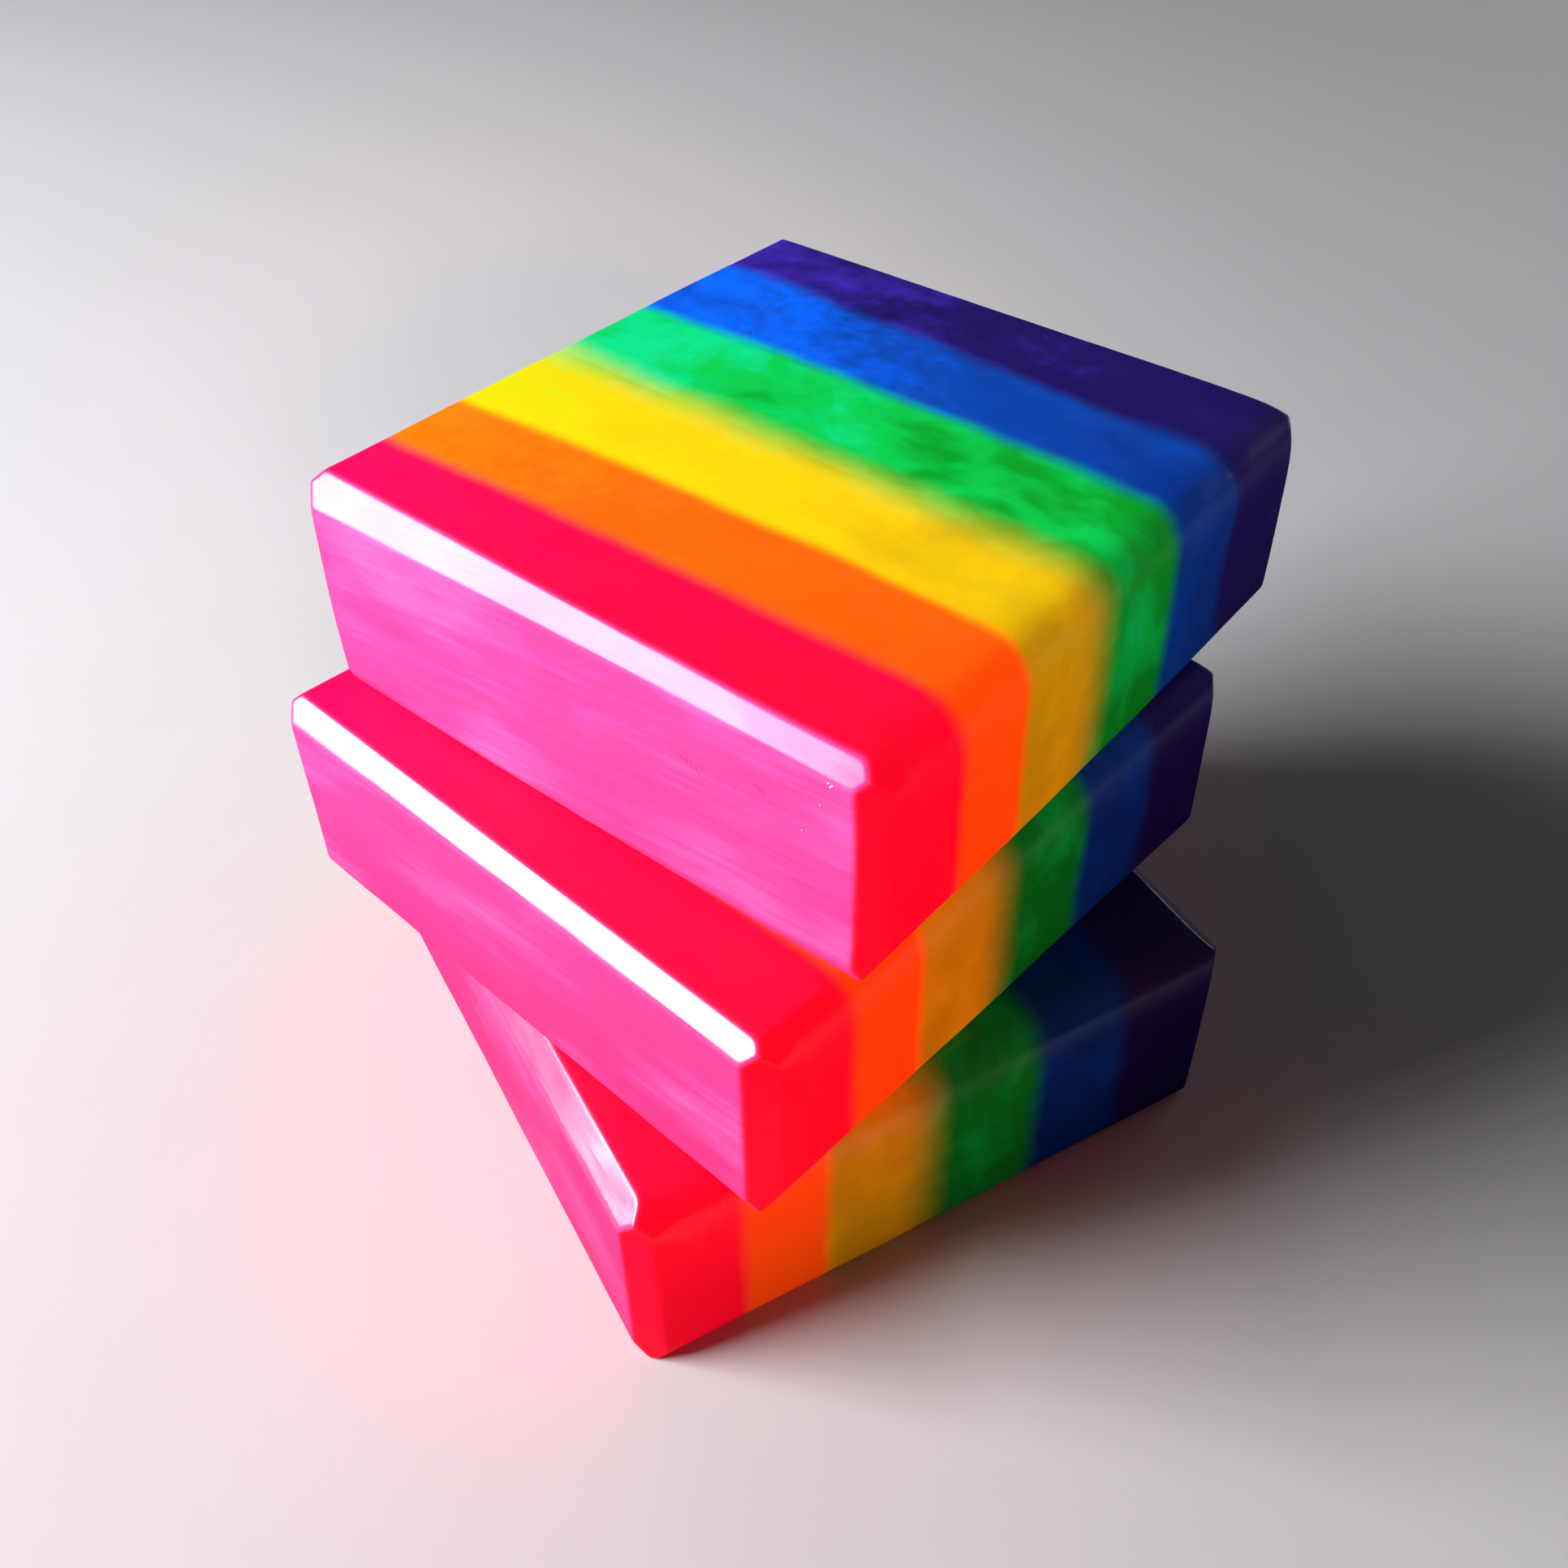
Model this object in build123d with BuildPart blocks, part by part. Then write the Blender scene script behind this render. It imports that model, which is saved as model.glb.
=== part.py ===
from build123d import *

import os

# Three bars of layered soap, lying one on another and fanned out.
#
# The bars are neighbouring slices of one loaf. The loaf was poured in a loaf mould in six
# colours, one on top of another, and then cut across. Each bar lies on a cut side. The six
# layers of a bar are bonded face to face, and the bars only rest on each other, so each upper
# bar lifts straight off.
#
# Frame: millimetres, +Z up. The origin is the middle of the bottom bar's underside. The bottom
# bar's red face looks along -Y and its violet face along +Y.

os.makedirs("parts", exist_ok=True)

# The loaf. Depth is measured back from the red face, which is the top of the loaf.
RED_FACE_WIDTH = 72.0
VIOLET_FACE_WIDTH = 70.0  # the mould narrows towards its floor
LOAF_DEPTH = 73.0
COLOURS = ("red", "orange", "yellow", "green", "blue", "violet")

# Where each seam between two layers lies behind the red face: at the left wall, in the middle
# and at the right wall. No layer set quite level.
SEAMS = (
    (10.4, 11.7, 12.2),
    (20.0, 22.0, 21.9),
    (34.3, 33.9, 33.8),
    (47.0, 48.3, 47.3),
    (61.9, 60.2, 58.8),
)

# The bars from the bottom one up: thickness, bevel along the upper edges, depth of the steeper
# bevels underneath (along the red and violet faces, then along the walls), turn about +Z in
# degrees, and the middle of the bar in X and Y.
BARS = (
    ("bottom_bar", 25.5, 2.5, 1.1, 0.9, 0.0, 0.0, 0.0),
    ("middle_bar", 24.0, 1.7, 0.8, 1.5, 17.5, -3.5, -1.0),
    ("top_bar", 25.0, 2.1, 1.1, 2.1, 21.5, -6.5, 7.5),
)
FOOT_RISE = 2.0  # the bevels underneath rise this much for each millimetre of their depth
CORNER_BEVEL = 2.5  # on the four corners that stand upright

RED_FACE = -LOAF_DEPTH / 2
VIOLET_FACE = LOAF_DEPTH / 2
HALF_WIDTH = RED_FACE_WIDTH / 2
BEHIND_BAR = VIOLET_FACE + 10.0


def bar_blank(thickness, bevel, face_foot, wall_foot):
    """One slice of the loaf, lying on a cut side and bevelled along all of its edges.

    The bevels are cut right through, so at each corner three of them meet in a point.
    """
    corners = (
        (-RED_FACE_WIDTH / 2, RED_FACE),
        (RED_FACE_WIDTH / 2, RED_FACE),
        (VIOLET_FACE_WIDTH / 2, VIOLET_FACE),
        (-VIOLET_FACE_WIDTH / 2, VIOLET_FACE),
    )
    with BuildPart() as blank:
        with BuildSketch():
            with BuildLine():
                Polyline(*corners, close=True)
            make_face()
        extrude(amount=thickness)
        # The bevels along the walls, above and then underneath.
        for at_end, across, down in ((-1, bevel, bevel), (0, wall_foot, FOOT_RISE * wall_foot)):
            cut_side = blank.faces().sort_by(Axis.Z)[at_end]
            along_walls = cut_side.edges().filter_by(lambda e: abs(e.tangent_at(0).Y) > 0.9)
            chamfer(along_walls, across, down, reference=cut_side)
        # Seen from the side, for the bevels along the red and violet faces.
        with BuildSketch(Plane.YZ):
            with BuildLine():
                Polyline(
                    (RED_FACE + face_foot, 0),
                    (RED_FACE, FOOT_RISE * face_foot),
                    (RED_FACE, thickness - bevel),
                    (RED_FACE + bevel, thickness),
                    (VIOLET_FACE - bevel, thickness),
                    (VIOLET_FACE, thickness - bevel),
                    (VIOLET_FACE, FOOT_RISE * face_foot),
                    (VIOLET_FACE - face_foot, 0),
                    close=True,
                )
            make_face()
        extrude(amount=HALF_WIDTH, both=True, mode=Mode.INTERSECT)
        # Seen from above, for the upright corners.
        with BuildSketch() as outline:
            with BuildLine():
                Polyline(*corners, close=True)
            make_face()
            chamfer(outline.vertices(), CORNER_BEVEL)
        extrude(amount=thickness, mode=Mode.INTERSECT)
    return blank.part


def behind_seam(seam, thickness):
    """The block of everything behind a seam, which bows gently from wall to wall."""
    left, middle, right = seam
    with BuildPart() as block:
        with BuildSketch():
            with BuildLine():
                bow = ThreePointArc(
                    (-HALF_WIDTH, RED_FACE + left),
                    (0, RED_FACE + middle),
                    (HALF_WIDTH, RED_FACE + right),
                )
                Polyline(bow @ 1, (HALF_WIDTH, BEHIND_BAR), (-HALF_WIDTH, BEHIND_BAR), bow @ 0)
            make_face()
        extrude(amount=thickness)
    return block.part


def layers_of(blank, thickness):
    """The layers of one bar, from the red one to the violet one."""
    layers = []
    rest = blank
    for seam in SEAMS:
        block = behind_seam(seam, thickness)
        with BuildPart() as front:
            add(rest)
            add(block, mode=Mode.SUBTRACT)
        with BuildPart() as back:
            add(rest)
            add(block, mode=Mode.INTERSECT)
        layers.append(front.part)
        rest = back.part
    layers.append(rest)
    return layers


resting_height = 0.0
for bar, thickness, bevel, face_foot, wall_foot, turn, middle_x, middle_y in BARS:
    place = Location((middle_x, middle_y, resting_height), (0, 0, turn))
    blank = bar_blank(thickness, bevel, face_foot, wall_foot)
    for colour, shape in zip(COLOURS, layers_of(blank, thickness)):
        with BuildPart() as layer:
            with Locations(place):
                add(shape)
        layer.part.label = f"{bar}_{colour}_layer"
        export_step(layer.part, f"parts/{layer.part.label}.step")
    resting_height += thickness
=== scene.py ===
import math

import bpy
import numpy as np
from mathutils import Euler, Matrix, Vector


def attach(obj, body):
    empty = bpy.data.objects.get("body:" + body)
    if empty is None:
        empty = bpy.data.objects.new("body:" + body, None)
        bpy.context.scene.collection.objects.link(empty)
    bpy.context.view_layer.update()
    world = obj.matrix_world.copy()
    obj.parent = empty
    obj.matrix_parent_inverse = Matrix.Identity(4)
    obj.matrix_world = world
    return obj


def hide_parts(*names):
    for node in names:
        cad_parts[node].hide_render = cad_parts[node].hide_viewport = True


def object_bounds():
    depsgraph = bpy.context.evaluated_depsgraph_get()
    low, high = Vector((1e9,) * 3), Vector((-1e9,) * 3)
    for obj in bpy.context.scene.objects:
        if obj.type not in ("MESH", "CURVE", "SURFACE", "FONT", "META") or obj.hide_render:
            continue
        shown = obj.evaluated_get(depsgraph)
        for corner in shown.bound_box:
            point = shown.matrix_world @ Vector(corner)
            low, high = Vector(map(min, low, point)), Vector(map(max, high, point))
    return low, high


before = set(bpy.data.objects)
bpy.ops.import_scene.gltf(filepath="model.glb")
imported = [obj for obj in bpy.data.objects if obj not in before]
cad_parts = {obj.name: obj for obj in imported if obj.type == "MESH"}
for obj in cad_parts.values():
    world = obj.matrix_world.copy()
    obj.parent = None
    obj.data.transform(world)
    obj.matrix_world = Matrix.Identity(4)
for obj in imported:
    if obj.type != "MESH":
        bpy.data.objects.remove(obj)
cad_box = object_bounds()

# Three bars of layered soap, lying one on another and fanned out.
#
# Each layer of each bar is a piece of its own, and takes its place and shape from its CAD solid:
# the flats, bevels and seams are read off the CAD meshes. What is added here is what a knife, a
# soap plane and a poured seam leave: softened edges, bevels made of several strokes, gently
# uneven faces, faint seam lines and small nicks.
#
# Shapes are worked out in millimetres in each bar's own axes: x along the layers, y from the red
# face to the violet one, z up, with the origin in the middle of the bar.

MM = 0.001
BARS = ("bottom_bar", "middle_bar", "top_bar")
COLOURS = ("red", "orange", "yellow", "green", "blue", "violet")

# How the CAD meshes are read.
FLUSH = 0.02  # how near the outermost plane a polygon has to be to lie on it, in millimetres
SLANT = 0.2  # a unit normal that leans less than this along an axis counts as square to it

# How the surface is finished, in millimetres.
EDGE_SOFTNESS = 0.09  # how far the rounding reaches into a planed edge, roughly
WALL_SOFTNESS = 0.85  # the same between the upper cut side and the right wall, worn rounder
CRISP_FRONT = 6.0  # behind the red face, how far it takes for that wear to set in
MARGIN = 5.0  # the strip along each edge that the bevels and their rounding stay within
UNEVEN = ((19.0, 0.035), (6.0, 0.0105))  # waves in the faces: their length and half their height
SEAM_DEPTH = 0.014  # a seam is a line pressed in by about this much
SEAM_WIDTH = 0.45
SEAM_WAVES = 15.0  # how far apart a seam is deep and shallow
STROKES = 5  # strokes of the soap plane along each edge
STROKE_BOW = (0.14, 0.10, 0.42)  # how much deeper each bar's edges are cut at their ends
STROKE_ROLL = math.radians(1.6)  # how differently the strokes are tilted
STROKE_BLEND = 0.004  # how softly one stroke's gloss gives way to the next one's
NICKS = 14  # small dents along the edges of each bar
NICK_DEPTH = 0.16
NICK_RADIUS = 0.55
NICK_INSET = 0.7  # how far in from the bar's square corner they are centred

# Gloss, as a Principled specular level: on the planed upper bevels of each bar, on the cut sides,
# and on everything upright, which set against the mould or in the air.
PLANED_GLOSS = (0.56, 0.62, 0.30)
CUT_GLOSS = 0.30
UPRIGHT_GLOSS = 0.03
STROKE_GLOSS = 0.16  # how much glossier or duller than that a single stroke can be, as a share

# The mesh, in millimetres.
CELL = 0.72  # cells on the flats
MARGIN_CELLS = 19  # cells across each margin
NEAR_SEAM = (0.0, 0.18, 0.42, 0.8)  # rows on each side of a seam
HALVINGS = 17  # steps of the search for the surface along a ray


# ---------------------------------------------------------------- the bars, as the CAD has them


def polygons_of(node):
    """Each polygon of a CAD node: its normal, its area and its corners, in the row frame."""
    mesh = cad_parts[node].data
    corners = np.array([vertex.co for vertex in mesh.vertices])
    for polygon in mesh.polygons:
        yield np.array(polygon.normal), polygon.area, corners[list(polygon.vertices)]


class Bar:
    """One bar's axes, outer planes and seams, read off the CAD meshes of its layers."""

    def __init__(self, name, index):
        self.index = index
        self.nodes = [f"{name}_{colour}_layer" for colour in COLOURS]
        self.polygons = [list(polygons_of(node)) for node in self.nodes]
        corners = np.vstack([row[2] for polygons in self.polygons for row in polygons])
        self.find_axes(corners)
        self.find_planes(self.to_bar(corners))
        self.find_seams()

    def find_axes(self, everything):
        """The red face gives the axes: it is the largest upright polygon with the bar behind it."""
        upright = [
            (area, tuple(normal))
            for normal, area, corners in self.polygons[0]
            if abs(normal[2]) < 0.01
            and (everything @ normal).max() < (corners @ normal).max() + FLUSH * MM
        ]
        red_face = np.array(max(upright)[1])
        along_y = -red_face / np.linalg.norm(red_face)
        along_x = np.array((along_y[1], -along_y[0], 0.0))
        self.axes = np.array((along_x, along_y, (0.0, 0.0, 1.0)))
        in_axes = everything @ self.axes.T
        self.origin = (in_axes.min(0) + in_axes.max(0)) / 2 @ self.axes
        self.half = (in_axes.max(0) - in_axes.min(0)) / 2 / MM

    def to_bar(self, points):
        """From the row frame to the bar's own axes, in millimetres."""
        return (points - self.origin) @ self.axes.T / MM

    def to_row(self, points):
        """The other way about."""
        return points * MM @ self.axes + self.origin

    def find_planes(self, everything):
        """The planes that bound the bar, as unit normals and distances from its middle."""
        found = {}
        for polygons in self.polygons:
            for normal, area, corners in polygons:
                normal = self.axes @ normal
                distance = (self.to_bar(corners) @ normal).mean()
                if (everything @ normal).max() < distance + FLUSH:
                    key = tuple(np.round(normal, 2) + 0.0)
                    found.setdefault(key, []).append((area, *normal, distance))
        rows = [np.average(same, axis=0, weights=np.array(same)[:, 0]) for same in found.values()]
        self.planes = np.array(rows)[:, 1:]
        right_wall = self.planes[self.planes[:, 0].argmax()]
        self.draft = right_wall[1] / right_wall[0]

    def narrowing(self, y):
        """How much narrower the bar is here than at its red face, as a factor."""
        return 1 - self.draft * (y + self.half[1]) / self.half[0]

    def find_seams(self):
        """Each seam as y against x, a gentle curve. The first and last are the flat ends."""
        self.seams = [np.array((0.0, 0.0, -self.half[1]))]
        for polygons in self.polygons[:-1]:
            on_seam = []
            for normal, _, corners in polygons:
                local = self.to_bar(corners)
                faces_back = (self.axes @ normal)[1] > 0.5
                if faces_back and local[:, 1].max() < self.half[1] - 1.0:
                    on_seam.append(local[:, :2])
            x, y = np.vstack(on_seam).T
            self.seams.append(np.polyfit(x, y, 2))
        self.seams.append(np.array((0.0, 0.0, self.half[1])))


# ---------------------------------------------------------------- how a bar is finished by hand


def waves(points, length, seed, count=14):
    """A smooth random field from -1 to 1 whose waves are about this long."""
    draw = np.random.default_rng(seed)
    directions = draw.normal(size=(count, 3))
    directions /= np.linalg.norm(directions, axis=1)[:, None]
    lengths = length * draw.uniform(0.7, 1.6, count)
    phases = draw.uniform(0, 2 * math.pi, count)
    field = np.sin(points @ (directions / lengths[:, None]).T * 2 * math.pi + phases)
    return np.clip(field.sum(1) / math.sqrt(count), -1, 1)


def soft_maximum(values, softness):
    """The largest value of each row, eased where several are close, as a column."""
    top = values.max(1, keepdims=True)
    return top + softness * np.log(np.exp((values - top) / softness).sum(1, keepdims=True))


def strokes_on(planes, half, bow, seed):
    """Every face's planes: a flat keeps its own, and a bevel has one for each planing stroke."""
    draw = np.random.default_rng(seed)
    strokes = []
    for plane in planes:
        normal, distance = plane[:3], plane[3]
        along = int(np.argmin(np.abs(normal)))
        is_flat = np.sort(np.abs(normal))[1] < SLANT
        if is_flat:
            strokes.append(plane[None, :])
            continue
        edge = np.eye(3)[along] - normal[along] * normal
        edge /= np.linalg.norm(edge)
        across = np.cross(normal, edge)
        cut = []
        for place in np.linspace(-0.8, 0.8, STROKES) + draw.uniform(-0.12, 0.12, STROKES):
            reach = half[along]
            yaw = 2 * bow * place / reach
            roll = draw.uniform(-1, 1) * STROKE_ROLL
            tilted = normal + yaw * edge + roll * across
            on_bevel = normal * (distance - bow * (place**2 - 0.6)) + edge * place * reach
            tilted /= np.linalg.norm(tilted)
            cut.append((*tilted, on_bevel @ tilted))
        strokes.append(np.array(cut))
    return strokes


class Finish:
    """The finished surface of a bar: where it lies, and which kind of face each point is on."""

    def __init__(self, bar):
        self.bar = bar
        self.seed = 100 * (bar.index + 1)
        strokes = strokes_on(bar.planes, bar.half, STROKE_BOW[bar.index], self.seed)
        self.planes = np.vstack(strokes)
        face_of = np.repeat(np.arange(len(strokes)), [len(own) for own in strokes])
        self.strokes_of = [face_of == face for face in range(len(strokes))]
        across, back, up = bar.planes[:, :3].T
        self.is_worn = (np.abs(back) < SLANT) & (up > -SLANT)
        # The red faces, which carry the painted sheen standing for the window's reflection.
        self.has_painted_sheen = (back < -0.6) & (np.abs(across) < SLANT)
        self.is_bevel = np.array([len(own) > 1 for own in strokes])
        draw = np.random.default_rng(self.seed + 1)
        uneven = draw.uniform(1 - STROKE_GLOSS, 1 + STROKE_GLOSS, len(self.planes))
        gloss = np.where(self.is_bevel, PLANED_GLOSS[bar.index], CUT_GLOSS)
        gloss[(up < SLANT) & (up > -0.95)] = UPRIGHT_GLOSS
        self.gloss = gloss[face_of] * np.where(self.is_bevel[face_of], uneven, 1)
        self.nicks = self.place_nicks(draw)

    def place_nicks(self, draw):
        """Small dents, each on an edge of the bar: along one axis, at the ends of the others."""
        nicks = []
        for _ in range(NICKS):
            along = draw.integers(0, 3)
            place = np.sign(draw.uniform(-1, 1, 3)) * (self.bar.half - NICK_INSET)
            place[along] = draw.uniform(-0.85, 0.85) * self.bar.half[along]
            nicks.append((*place, draw.uniform(0.5, 1.4) * NICK_RADIUS, draw.uniform(0.4, 1)))
        return nicks

    def past_seams(self, points):
        """How far each point lies behind each of the five seams."""
        return np.stack([points[:, 1] - np.polyval(s, points[:, 0]) for s in self.bar.seams[1:-1]])

    def cut_away(self, points):
        """How much soap is gone at each point, always at least zero."""
        gone = np.zeros(len(points))
        for place, (length, height) in enumerate(UNEVEN):
            gone += height * (1 + waves(points, length, self.seed + 2 + place))
        seams = np.exp(-((self.past_seams(points) / SEAM_WIDTH) ** 2)).max(0)
        gone += SEAM_DEPTH * seams * (1.2 + waves(points, SEAM_WAVES, self.seed + 4))
        for *place, radius, share in self.nicks:
            away = ((points - place) ** 2).sum(1) / radius**2
            gone += NICK_DEPTH * share * np.exp(-away)
        return gone

    def eased(self, points):
        """How far points are above each stroke's plane, each face, the worn faces as one, with the
        softness that joins those, and the whole surface.
        """
        gaps = points @ self.planes[:, :3].T - self.planes[:, 3]
        faces = np.hstack([soft_maximum(gaps[:, own], EDGE_SOFTNESS) for own in self.strokes_of])
        behind = np.clip((points[:, 1] + self.bar.half[1]) / CRISP_FRONT, 0, 1)
        to_right = np.clip(points[:, 0] / self.bar.half[0], 0, 1)
        wear = (behind**2 * to_right)[:, None]
        softness = EDGE_SOFTNESS + (WALL_SOFTNESS - EDGE_SOFTNESS) * wear
        worn = soft_maximum(faces[:, self.is_worn], softness)
        surface = soft_maximum(np.hstack((faces[:, ~self.is_worn], worn)), EDGE_SOFTNESS)
        return gaps, faces, worn, softness, surface

    def above(self, points, gone):
        """How far each point is above the finished surface, negative inside it."""
        return self.eased(points)[-1][:, 0] + gone

    def kinds(self, points):
        """How much of each point has the painted sheen and is on a bevel, from 0 to 1, and its gloss.
        """
        gaps, faces, worn, softness, surface = self.eased(points)
        shares = np.exp(np.minimum((faces - surface) / EDGE_SOFTNESS, 0))
        among_worn = np.exp((faces - worn) / softness) * np.exp((worn - surface) / EDGE_SOFTNESS)
        shares[:, self.is_worn] = among_worn[:, self.is_worn]
        gloss = np.zeros(len(points))
        for face, own in enumerate(self.strokes_of):
            stroke = gaps[:, own]
            lead = np.exp((stroke - stroke.max(1, keepdims=True)) / STROKE_BLEND)
            gloss += shares[:, face] * (lead @ self.gloss[own]) / lead.sum(1)
        return shares @ self.has_painted_sheen, shares @ self.is_bevel, gloss


# ---------------------------------------------------------------- the mesh of one layer


def margin_lines(half):
    """Grid lines from -half to half: close together in the two margins, even between them."""
    core = half - MARGIN
    margin = np.linspace(core, half, MARGIN_CELLS + 1)
    middle = np.linspace(-core, core, max(2, round(2 * core / CELL)) + 1)
    return np.concatenate((-margin[::-1], middle[1:-1], margin))


def depth_lines(front, back, is_first, is_last):
    """Grid lines through one layer, from its front seam or face to its back one."""
    near = np.array(NEAR_SEAM)
    margin = np.linspace(0, MARGIN, MARGIN_CELLS + 1)
    head = margin if is_first else near
    tail = margin if is_last else near
    start, end = front + head[-1], back - tail[-1]
    middle = np.linspace(start, end, max(2, round((end - start) / CELL)) + 1)
    return np.concatenate((front + head, middle[1:-1], (back - tail)[::-1]))


class LayerGrid:
    """A grid on the outside of a block, with its cells numbered once each."""

    def __init__(self, xs, ys, zs):
        self.shape = (len(xs), len(ys), len(zs))
        i, j, k = np.meshgrid(*[np.arange(n) for n in self.shape], indexing="ij")
        on_outside = (
            (i == 0) | (i == len(xs) - 1)
            | (j == 0) | (j == len(ys) - 1)
            | (k == 0) | (k == len(zs) - 1)
        )
        self.number = np.full(self.shape, -1)
        self.number[on_outside] = np.arange(on_outside.sum())
        self.points = np.stack((xs[i], ys[j], zs[k]), -1)[on_outside]
        self.row = j[on_outside]

    def side(self, axis, at_end):
        """The quads of one side of the block, facing out."""
        grid = np.take(self.number, -1 if at_end else 0, axis=axis)
        quads = np.stack((grid[:-1, :-1], grid[1:, :-1], grid[1:, 1:], grid[:-1, 1:]), -1)
        quads = quads.reshape(-1, 4)
        faces_out = at_end != (axis == 1)
        return quads if faces_out else quads[:, ::-1]


def settle(points, finish, to_real):
    """Moves the points of a block on to the finished surface, and those inside it in step."""
    half = finish.bar.half
    core = np.clip(points, -(half - MARGIN), half - MARGIN)
    out = points - core
    share = np.abs(out).max(1) / MARGIN
    moving = share > 1e-9
    start = core[moving]
    ray = out[moving] / share[moving][:, None]
    gone = finish.cut_away(to_real(start + ray))
    low = np.zeros(len(start))
    high = np.ones(len(start))
    for _ in range(HALVINGS):
        middle = (low + high) / 2
        is_above = finish.above(to_real(start + middle[:, None] * ray), gone) > 0
        high = np.where(is_above, middle, high)
        low = np.where(is_above, low, middle)
    settled = points.copy()
    settled[moving] = start + (low * share[moving])[:, None] * ray
    return to_real(settled)


def build_layer(bar, finish, order):
    """One layer of one bar as a closed mesh, with what its material needs at every point."""
    seams = bar.seams
    front_seam, back_seam = seams[order], seams[order + 1]
    front, back = front_seam[2], back_seam[2]
    is_first, is_last = order == 0, order == len(COLOURS) - 1

    def to_real(points):
        """From a plain block to the real layer, whose seams bow and whose walls draw in."""
        share = (points[:, 1] - front) / (back - front)
        across = points[:, 0] * bar.narrowing(points[:, 1])
        near = np.polyval(front_seam, across)
        far = np.polyval(back_seam, across)
        return np.stack((across, near + share * (far - near), points[:, 2]), 1)

    grid = LayerGrid(
        margin_lines(bar.half[0]),
        depth_lines(front, back, is_first, is_last),
        margin_lines(bar.half[2]),
    )
    points = settle(grid.points, finish, to_real)
    sides = [grid.side(axis, at_end) for axis in range(3) for at_end in (False, True)]
    quads = np.vstack(sides)

    mesh = bpy.data.meshes.new(bar.nodes[order] + "_soap")
    mesh.from_pydata(bar.to_row(points).tolist(), [], quads.tolist())
    mesh.polygons.foreach_set("use_smooth", [True] * len(quads))
    add_sharp_rims(mesh, grid, is_first, is_last)
    add_soap_data(mesh, finish, points, order)
    piece = bpy.data.objects.new(bar.nodes[order] + "_soap", mesh)
    bpy.context.scene.collection.objects.link(piece)
    return piece


def add_sharp_rims(mesh, grid, is_first, is_last):
    """The rim of each hidden seam face is sharp, so that the seam face doesn't tint the outside."""
    ends = []
    if not is_first:
        ends.append(0)
    if not is_last:
        ends.append(grid.shape[1] - 1)
    outside = np.zeros(len(grid.points), bool)
    for side in (grid.number[0], grid.number[-1], grid.number[:, :, 0], grid.number[:, :, -1]):
        outside[side] = True
    pairs = np.zeros(len(mesh.edges) * 2, int)
    mesh.edges.foreach_get("vertices", pairs)
    pairs = pairs.reshape(-1, 2)
    sharp = np.zeros(len(pairs), bool)
    for end in ends:
        on_rim = outside & (grid.row == end)
        sharp |= on_rim[pairs].all(1)
    mesh.attributes.new("sharp_edge", "BOOLEAN", "EDGE").data.foreach_set("value", sharp)


def add_soap_data(mesh, finish, points, order):
    """Point data for the materials: the place in the loaf, the nearest seams and the kind of face."""
    far_away = 50.0
    bar = finish.bar
    in_loaf = points + np.array((0.0, 0.0, bar.origin[2] / MM))
    past = finish.past_seams(points)
    past_front = past[order - 1] if order > 0 else np.full(len(points), far_away)
    past_back = past[order] if order < len(past) else np.full(len(points), -far_away)
    zero = np.zeros(len(points))
    for name, rows in (
        ("loaf", in_loaf),
        ("seams", np.stack((past_front, past_back, zero), 1)),
        ("kind", np.stack(finish.kinds(points), 1)),
    ):
        data = mesh.attributes.new(name, "FLOAT_VECTOR", "POINT").data
        data.foreach_set("vector", rows.astype(np.float32).ravel())


# ---------------------------------------------------------------- materials


class Nodes:
    """Short words for making and joining shader nodes."""

    def __init__(self, material):
        material.use_nodes = True
        self.tree = material.node_tree
        self.tree.nodes.clear()

    def add(self, kind, inputs=(), **settings):
        """A node with these settings. Inputs that are sockets are joined, others are values."""
        made = self.tree.nodes.new(kind)
        for name, value in settings.items():
            setattr(made, name, value)
        for name, value in dict(inputs).items():
            if isinstance(value, bpy.types.NodeSocket):
                self.tree.links.new(value, made.inputs[name])
            else:
                made.inputs[name].default_value = value
        return made

    def attribute(self, name):
        """What the mesh holds under this name at each point."""
        return self.add("ShaderNodeAttribute", attribute_name=name).outputs["Vector"]

    def parts(self, vector):
        """The three numbers of a vector."""
        return self.add("ShaderNodeSeparateXYZ", {0: vector}).outputs

    def math(self, operation, *values, clamp=False):
        inputs = enumerate(values)
        made = self.add("ShaderNodeMath", inputs, operation=operation, use_clamp=clamp)
        return made.outputs[0]

    def vector_math(self, operation, *values):
        made = self.add("ShaderNodeVectorMath", enumerate(values), operation=operation)
        return made.outputs["Value" if operation == "LENGTH" else "Vector"]

    def noise(self, where, scale, detail=2.0, roughness=0.5, stretch=(1, 1, 1)):
        """Noise from 0 to 1, with this many features to the millimetre."""
        placed = self.add("ShaderNodeMapping", {"Vector": where, "Scale": stretch})
        inputs = {
            "Vector": placed.outputs[0],
            "Scale": scale,
            "Detail": detail,
            "Roughness": roughness,
        }
        return self.add("ShaderNodeTexNoise", inputs).outputs[0]

    def spread(self, value, low, high, to_low=0.0, to_high=1.0):
        """A smooth step from to_low at low to to_high at high."""
        inputs = {
            "Value": value,
            "From Min": low,
            "From Max": high,
            "To Min": to_low,
            "To Max": to_high,
        }
        kind = "ShaderNodeMapRange"
        return self.add(kind, inputs, interpolation_type="SMOOTHSTEP").outputs[0]

    def mix(self, share, first, second):
        """The first colour where share is 0, the second where it is 1."""
        inputs = {0: share}  # a colour Mix node has its colours in its inputs 6 and 7
        for place, value in ((6, first), (7, second)):
            is_socket = isinstance(value, bpy.types.NodeSocket)
            inputs[place] = value if is_socket else (*value, 1.0)
        return self.add("ShaderNodeMix", inputs, data_type="RGBA").outputs[2]

    def show(self, surface):
        """Makes this shader the material's surface."""
        output = self.add("ShaderNodeOutputMaterial")
        self.tree.links.new(surface.outputs[0], output.inputs[0])
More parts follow.
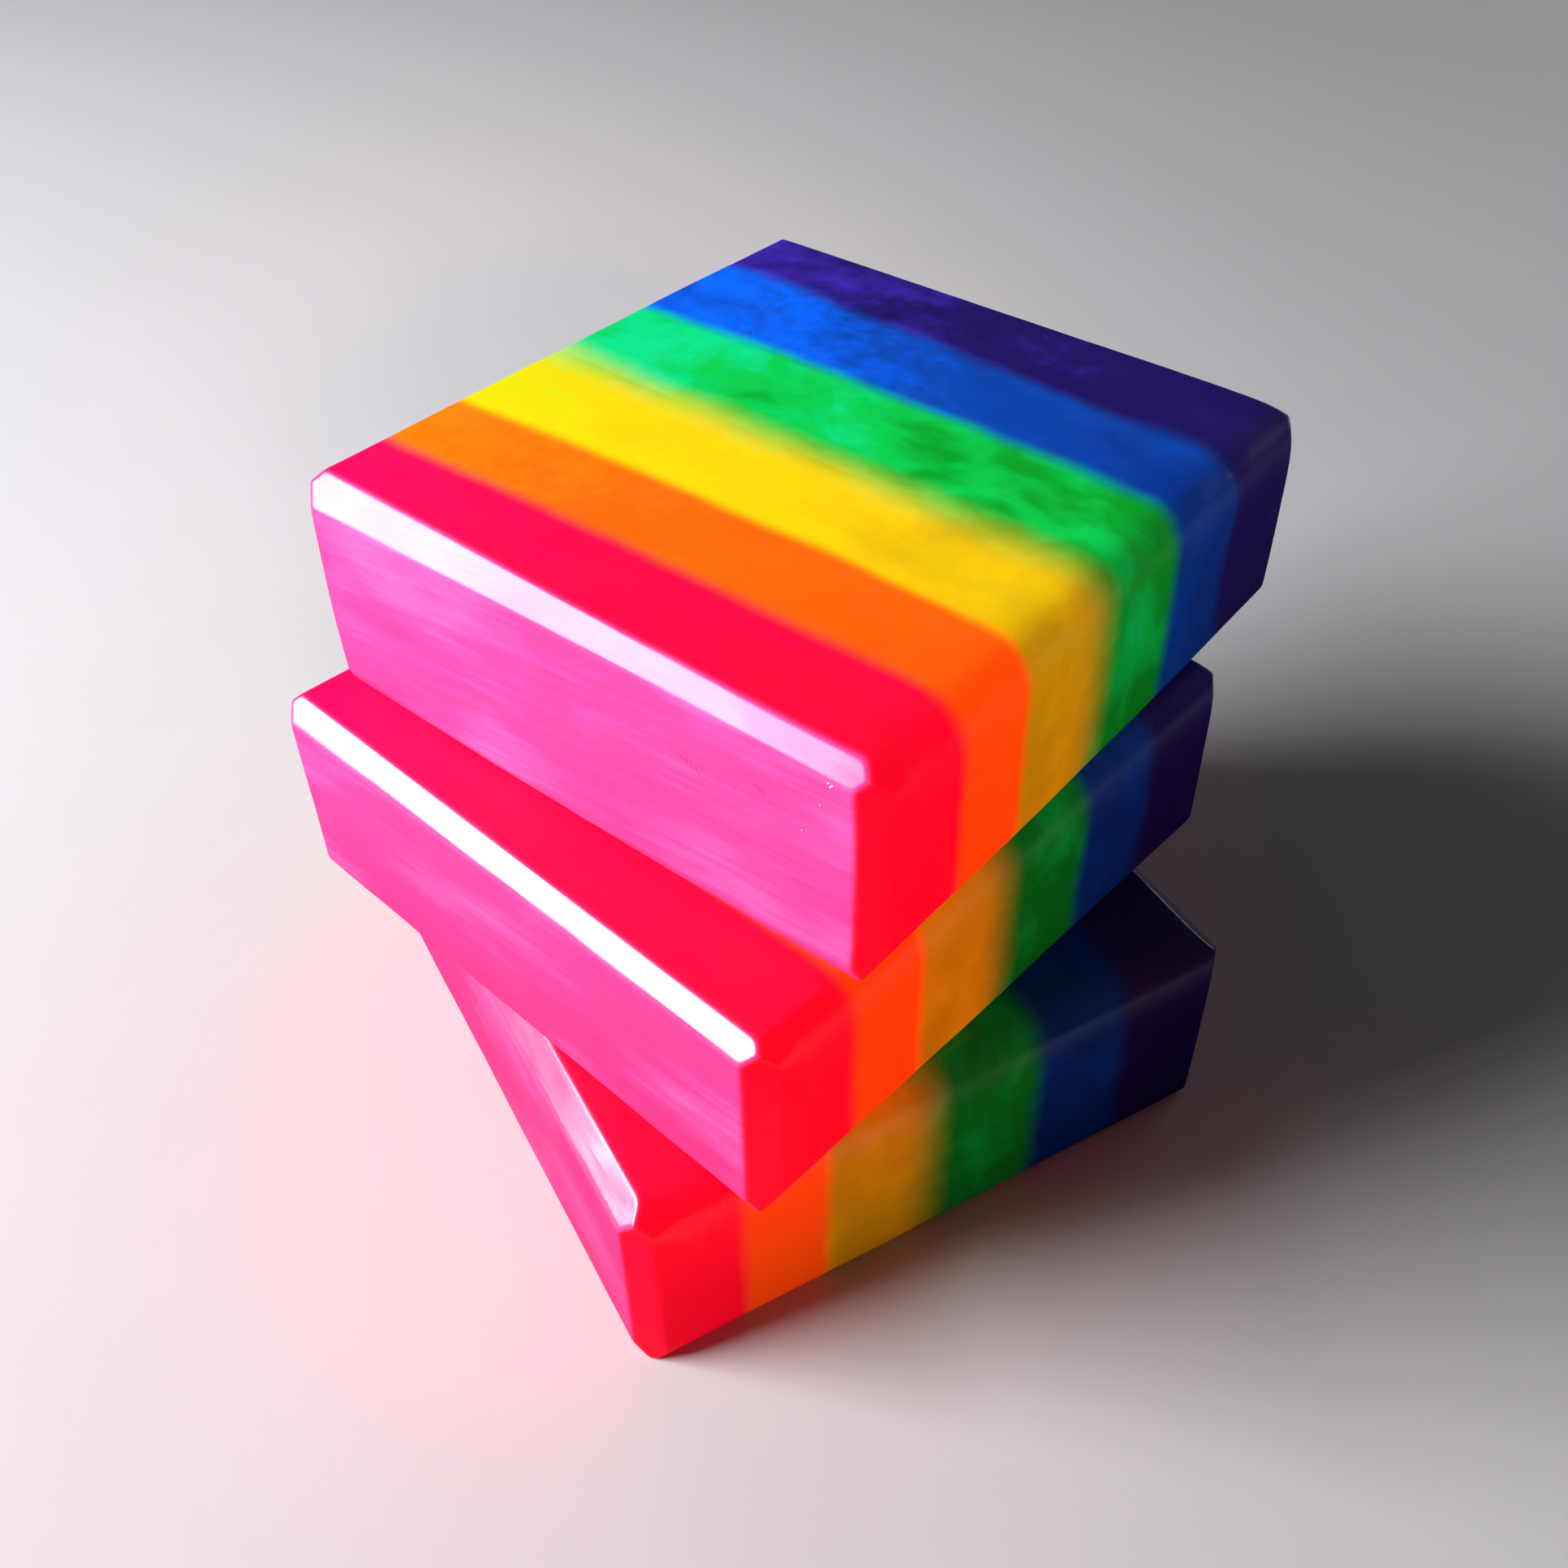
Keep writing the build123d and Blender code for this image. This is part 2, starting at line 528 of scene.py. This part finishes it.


# Linear colours of each layer: a lighter one, for thin dye and for painted light and sheen;
# the colour it mostly has; and a darker one where the dye is thick.
SOAP = {
    "red": ((0.95, 0.001, 0.072), (0.93, 0.001, 0.034), (0.88, 0.001, 0.018)),
    "orange": ((0.95, 0.165, 0.001), (0.95, 0.088, 0.001), (0.92, 0.070, 0.001)),
    "yellow": ((0.56, 0.600, 0.001), (0.72, 0.500, 0.001), (0.52, 0.330, 0.001)),
    "green": ((0.001, 0.620, 0.200), (0.001, 0.480, 0.055), (0.001, 0.280, 0.014)),
    "blue": ((0.001, 0.120, 0.850), (0.001, 0.048, 0.330), (0.001, 0.026, 0.200)),
    "violet": ((0.040, 0.016, 0.360), (0.010, 0.004, 0.090), (0.007, 0.003, 0.075)),
}
# How cloudy each layer is, and how much light it gives off, in place of the light that spreads
# inside real soap.
CLOUDS = {"red": 0.5, "orange": 0.5, "yellow": 0.9, "green": 2.2, "blue": 1.2, "violet": 1.2}
GLOW = {"red": 0.40, "orange": 0.30, "yellow": 0.10, "green": 0.03, "blue": 0.03, "violet": 0.03}
PAINTED_LIGHT_TO_LEFT = 0.011  # painted light: how much lighter each layer is painted with each millimetre towards the loaf's left, nearer the window
PAINTED_SHEEN = (0.95, 0.042, 0.20)  # painted sheen: the pale pink that stands for the window's reflection on the red faces
BRIGHTEST_SHEEN = (0.96, 0.130, 0.36)  # the painted sheen where it is brightest, as painted highlights in streaks and patches
FLECK = (0.98, 0.75, 0.85)
BLEED = (1.2, 1.2, 3.8, 1.6, 1.6)  # how far colour bleeds across each seam, in millimetres
WANDER = (0.4, 0.4, 1.0, 0.9, 1.6)  # how far the bleeding edge wanders, in millimetres

# The random patterns in and on the soap: features to the millimetre, their detail and roughness,
# and how they are stretched.
CLOUDY = {"scale": 0.10, "detail": 4.0, "roughness": 0.55, "stretch": (0.8, 1.3, 1)}
WISPY = {"scale": 0.55, "detail": 4.0, "roughness": 0.62}
WANDERING = {"scale": 0.13}
DRAGGED = {"scale": 1.1, "detail": 4.0, "roughness": 0.65, "stretch": (0.05, 1, 1)}
FINELY_DRAGGED = {"scale": 3.2, "detail": 3.0, "roughness": 0.6, "stretch": (0.03, 1, 1)}
PATCHY = {"scale": 0.055, "detail": 3.0, "stretch": (0.6, 1, 1.5)}
SMEARED = {"scale": 0.12, "detail": 3.0}
PORES = {"scale": 2.6}
SWELL = {"scale": 0.16}

RED_FACE = -36.5  # where the red faces are in the loaf, as y

# Marks on the top bar's red face: x, z, slope in degrees and half the length. The scratches are
# cut through the painted sheen, and the flecks are specks of pale soap.
SCRATCHES = (
    (14.9, 66.1, 62, 0.55),
    (15.5, 65.9, 66, 0.45),
    (16.1, 65.7, 66, 0.50),
    (16.8, 65.4, 60, 0.75),
    (17.3, 65.9, 60, 0.30),
    (23.6, 67.4, 48, 0.85),
    (24.1, 67.3, 48, 0.55),
)
FLECKS = (
    (31.2, 71.9, -55, 0.36),
    (30.9, 72.1, -35, 0.16),
    (30.1, 69.3, 40, 0.09),
    (28.2, 65.4, 10, 0.07),
)
MARK_WIDTH = 0.16


def clouded(nodes, where, order):
    """A layer's colour: cloudy, painted lighter to the loaf's left, with wisps of pale soap and
    sheen.
    """
    light, body, dark = SOAP[COLOURS[order]]
    aside = (17.0 * order, 0.0, 0.0)  # so that no layer repeats another's clouds
    shifted = nodes.vector_math("ADD", where, aside)
    bends = nodes.add("ShaderNodeTexNoise", {"Vector": shifted, "Scale": 0.06}).outputs["Color"]
    bends = nodes.vector_math("MULTIPLY", bends, (9, 9, 9))
    bent = nodes.vector_math("ADD", shifted, bends)
    clouds = nodes.noise(bent, **CLOUDY)
    right = nodes.parts(where)["X"]
    # Painted light: lighter towards the loaf's left, the side nearer the window.
    dye_and_painted_light = nodes.math("MULTIPLY_ADD", right, -PAINTED_LIGHT_TO_LEFT, 0.52)
    drift = nodes.math("MULTIPLY", nodes.math("SUBTRACT", clouds, 0.5), CLOUDS[COLOURS[order]])
    dye_and_painted_light = nodes.math("ADD", dye_and_painted_light, drift)
    colour = nodes.mix(nodes.spread(dye_and_painted_light, 0.0, 0.5), dark, body)
    # Lighter wisps: partly paler soap, partly painted sheen of the window on the uneven faces.
    wisps = nodes.noise(bent, **WISPY)
    bright = nodes.math("MULTIPLY_ADD", nodes.math("SUBTRACT", wisps, 0.5), 0.5, dye_and_painted_light)
    return nodes.mix(nodes.spread(bright, 0.45, 1.05), colour, light)


def marked(nodes, where, marks):
    """From 0 to 1 in the marks: each is a thin ellipse in the plane of the red face."""
    mask = 0.0
    for x, z, slope, half_length in marks:
        placed = nodes.add(
            "ShaderNodeMapping",
            {
                "Vector": where,
                "Location": (x, RED_FACE, z),
                "Rotation": (0.0, math.radians(slope), 0.0),
                "Scale": (half_length, 1.0, MARK_WIDTH / 2),
            },
            vector_type="TEXTURE",
        )
        away = nodes.vector_math("LENGTH", placed.outputs[0])
        mask = nodes.math("MAXIMUM", mask, nodes.spread(away, 1.0, 0.4))
    return mask


def bled(nodes, where, order):
    """A layer's colour and glow, with its neighbours bleeding in at the seams."""
    colour = clouded(nodes, where, order)
    glow = own_glow = GLOW[COLOURS[order]]
    past_front, past_back, _ = nodes.parts(nodes.attribute("seams"))
    for neighbour, seam, past in ((order - 1, order - 1, past_front), (order + 1, order, past_back)):
        if neighbour not in range(len(COLOURS)):
            continue
        wander = nodes.math("SUBTRACT", nodes.noise(where, **WANDERING), 0.5)
        past = nodes.math("MULTIPLY_ADD", wander, 2 * WANDER[seam], past)
        share = nodes.spread(past, -BLEED[seam], BLEED[seam])
        if neighbour < order:
            share = nodes.math("SUBTRACT", 1.0, share)
        colour = nodes.mix(share, colour, clouded(nodes, where, neighbour))
        more_glow = GLOW[COLOURS[neighbour]] - own_glow
        glow = nodes.math("MULTIPLY_ADD", share, more_glow, glow)
    return colour, glow


def with_painted_sheen(nodes, where, turned, streaks, scratches, sheen_face, under):
    """The red face: a painted sheen of the window, streaked and patchy, and painted shade lower down.
    """
    fine = nodes.noise(turned, **FINELY_DRAGGED)
    patches = nodes.noise(turned, **PATCHY)
    height = nodes.parts(where)["Z"]
    # Painted shade: the sheen is painted weaker lower down, on the lower bars.
    cover = nodes.spread(height, 8.0, 58.0, 0.50, 1.0)
    cover = nodes.math("MULTIPLY", cover, nodes.spread(streaks, 0.35, 0.6, 0.87, 1.0))
    cover = nodes.math("MULTIPLY", cover, nodes.spread(fine, 0.35, 0.5, 0.88, 1.0))
    cover = nodes.math("MULTIPLY", cover, nodes.spread(patches, 0.35, 0.6, 0.82, 1.0))
    cover = nodes.math("MULTIPLY_ADD", scratches, -0.75, cover, clamp=True)
    # Painted highlight: the sheen is painted brightest along the streaks and patches.
    sheen_peaks = nodes.math("ADD", patches, nodes.math("MULTIPLY", streaks, 0.22))
    pale = nodes.mix(nodes.spread(sheen_peaks, 0.56, 0.88, 0.0, 0.6), PAINTED_SHEEN, BRIGHTEST_SHEEN)
    pale = nodes.mix(marked(nodes, where, FLECKS), pale, FLECK)
    return nodes.mix(nodes.math("MULTIPLY", cover, sheen_face), under, pale)


def rough(nodes, where, streaks, bevel, gloss):
    """Satin on the cut sides, smoother on the planed bevels, dull on everything upright."""
    smears = nodes.noise(where, **SMEARED)
    roughness = nodes.spread(smears, 0.3, 0.7, 0.29, 0.39)
    roughness = nodes.math("ADD", roughness, nodes.spread(streaks, 0.3, 0.7, -0.02, 0.04))
    roughness = nodes.math("MULTIPLY_ADD", bevel, -0.15, roughness)
    return nodes.math("ADD", roughness, nodes.spread(gloss, 0.25, UPRIGHT_GLOSS, 0.0, 0.3))


def relief(nodes, where, streaks, scratches, sheen_face):
    """Fine relief: a soft swell all over, and the drag of the blade, pores and scratches in front."""
    pores = nodes.noise(where, **PORES)
    pits = nodes.spread(pores, 0.70, 0.8, 0.0, -0.2)
    height = nodes.math("MULTIPLY", nodes.math("MULTIPLY_ADD", streaks, 0.5, pits), sheen_face)
    height = nodes.math("MULTIPLY_ADD", nodes.noise(where, **SWELL), 1.6, height)
    height = nodes.math("MULTIPLY_ADD", scratches, -0.8, height)
    inputs = {"Height": height, "Strength": 0.35, "Distance": 0.05 * MM}
    return nodes.add("ShaderNodeBump", inputs).outputs[0]


def soap_material(order):
    """One colour of soap, bleeding into its neighbours at the seams."""
    material = bpy.data.materials.new(f"{COLOURS[order]}_soap_surface")
    nodes = Nodes(material)
    where = nodes.attribute("loaf")
    sheen_face, bevel, gloss = nodes.parts(nodes.attribute("kind"))
    colour, glow = bled(nodes, where, order)

    # The blade's drag runs along the bar, a little aslant.
    turned = nodes.add("ShaderNodeMapping", {"Vector": where, "Rotation": (0.0, 0.10, 0.0)})
    turned = turned.outputs[0]
    streaks = nodes.noise(turned, **DRAGGED)
    scratches = 0.0
    if order == 0:
        scratches = marked(nodes, where, SCRATCHES)
        # Painted sheen on the red face, standing for the window's reflection; the scratches cut
        # through it.
        colour = with_painted_sheen(nodes, where, turned, streaks, scratches, sheen_face, colour)

    nodes.show(
        nodes.add(
            "ShaderNodeBsdfPrincipled",
            {
                "Base Color": colour,
                "Roughness": rough(nodes, where, streaks, bevel, gloss),
                "Normal": relief(nodes, where, streaks, scratches, sheen_face),
                "IOR": 1.47,
                "Specular IOR Level": gloss,
                "Emission Color": colour,
                "Emission Strength": glow,
            },
        )
    )
    return material


# ---------------------------------------------------------------- making the stack

soap = [soap_material(order) for order in range(len(COLOURS))]
for index, name in enumerate(BARS):
    bar = Bar(name, index)
    finish = Finish(bar)
    for order, colour in enumerate(COLOURS):
        piece = build_layer(bar, finish, order)
        piece.data.materials.append(soap[order])
        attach(piece, name)
        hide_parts(bar.nodes[order])


# ---------------------------------------------------------------- floor, lights and camera

FLOOR_SIZE = 6.0
FLOOR_COLOUR = (0.50, 0.50, 0.49)
FLOOR_GRAIN = 0.97  # how bright the darker flecks in the paint are


def make_floor():
    """A plain pale floor at the foot of the stack."""
    mesh = bpy.data.meshes.new("studio_floor")
    edge = FLOOR_SIZE / 2
    height = cad_box[0].z
    square = ((-edge, -edge), (edge, -edge), (edge, edge), (-edge, edge))
    mesh.from_pydata([(x, y, height) for x, y in square], [], [(0, 1, 2, 3)])
    material = bpy.data.materials.new("studio_floor_paint")
    nodes = Nodes(material)
    place = nodes.add("ShaderNodeTexCoord").outputs["Object"]
    grain = nodes.noise(place, 60.0, detail=3.0)
    paint = nodes.mix(grain, tuple(FLOOR_GRAIN * c for c in FLOOR_COLOUR), FLOOR_COLOUR)
    nodes.show(nodes.add("ShaderNodeBsdfPrincipled", {"Base Color": paint, "Roughness": 0.75}))
    mesh.materials.append(material)
    floor = bpy.data.objects.new("studio_floor", mesh)
    bpy.context.scene.collection.objects.link(floor)


def place_round_stack(heading, elevation, distance):
    """The stack's middle and a place round it: heading 0 is in front of the bottom bar's red face,
    90 on its right.
    """
    middle = Vector((0.0, 0.0, (cad_box[0].z + cad_box[1].z) / 2))
    a, e = math.radians(heading), math.radians(elevation)
    way = Vector((math.sin(a) * math.cos(e), -math.cos(a) * math.cos(e), math.sin(e)))
    return middle, middle + distance * way


def soft_light(name, heading, elevation, distance, size, power, colour, beam=180, lift=0.0):
    """An area light aimed at the stack, or this much above its middle, with a beam this wide."""
    light = bpy.data.lights.new(name, "AREA")
    light.spread = math.radians(beam)
    light.shape = "RECTANGLE"
    light.size, light.size_y = size
    light.energy = power
    light.color = colour
    lamp = bpy.data.objects.new(name, light)
    target, place = place_round_stack(heading, elevation, distance)
    lamp.location = place + Vector((0.0, 0.0, lift))
    target = target + Vector((0.0, 0.0, lift))
    lamp.rotation_euler = (target - lamp.location).to_track_quat("-Z", "Y").to_euler()
    bpy.context.scene.collection.objects.link(lamp)


ROOM_COLOUR = (0.90, 0.93, 1.0)
ROOM_STRENGTH = 0.045


def make_lights():
    """A window in front, weak coloured fills on the shadow side, and a weak light behind."""
    # heading, elevation, distance, size, power, colour, and for the fills their beam and lift
    soft_light("window", -21, 29.5, 0.70, (0.43, 0.35), 12.9, (0.95, 0.94, 1.0))
    soft_light("sill", -40, 8, 0.70, (0.22, 0.06), 0.18, (1.0, 0.86, 1.0))
    soft_light("sill_end", -29.5, 9, 0.70, (0.05, 0.07), 0.36, (1.0, 0.94, 1.0))
    soft_light("warm_fill", 79, 24, 0.25, (0.16, 0.03), 0.030, (1.0, 0.66, 0.72), 24, 0.045)
    soft_light("red_fill", 74, 9, 0.16, (0.08, 0.03), 0.010, (1.0, 0.02, 0.02), 36, -0.005)
    soft_light("back_light", -166, 7, 0.80, (0.50, 0.10), 0.7, (0.95, 0.95, 1.0))
    world = bpy.data.worlds.new("studio")
    world.use_nodes = True
    background = world.node_tree.nodes["Background"]
    background.inputs["Color"].default_value = (*ROOM_COLOUR, 1.0)
    background.inputs["Strength"].default_value = ROOM_STRENGTH
    bpy.context.scene.world = world
    bpy.context.scene.view_settings.view_transform = "Standard"


CAMERA_HEADING = 61.94
CAMERA_ELEVATION = 42.13
CAMERA_DISTANCE = 0.1811
CAMERA_ROLL = math.radians(-1.0)
CAMERA_LENS = 38.0  # millimetres, on a sensor 36 wide


def make_camera():
    """The camera stands where the photo was taken from."""
    camera = bpy.data.cameras.new("camera")
    camera.lens = CAMERA_LENS
    camera.clip_start = 0.01
    camera.clip_end = 20.0
    holder = bpy.data.objects.new("camera", camera)
    target, place = place_round_stack(CAMERA_HEADING, CAMERA_ELEVATION, CAMERA_DISTANCE)
    aim = (target - place).to_track_quat("-Z", "Y")
    holder.location = place
    holder.rotation_euler = (aim @ Euler((0, 0, CAMERA_ROLL)).to_quaternion()).to_euler()
    bpy.context.scene.collection.objects.link(holder)
    bpy.context.scene.camera = holder


make_floor()
make_lights()
make_camera()
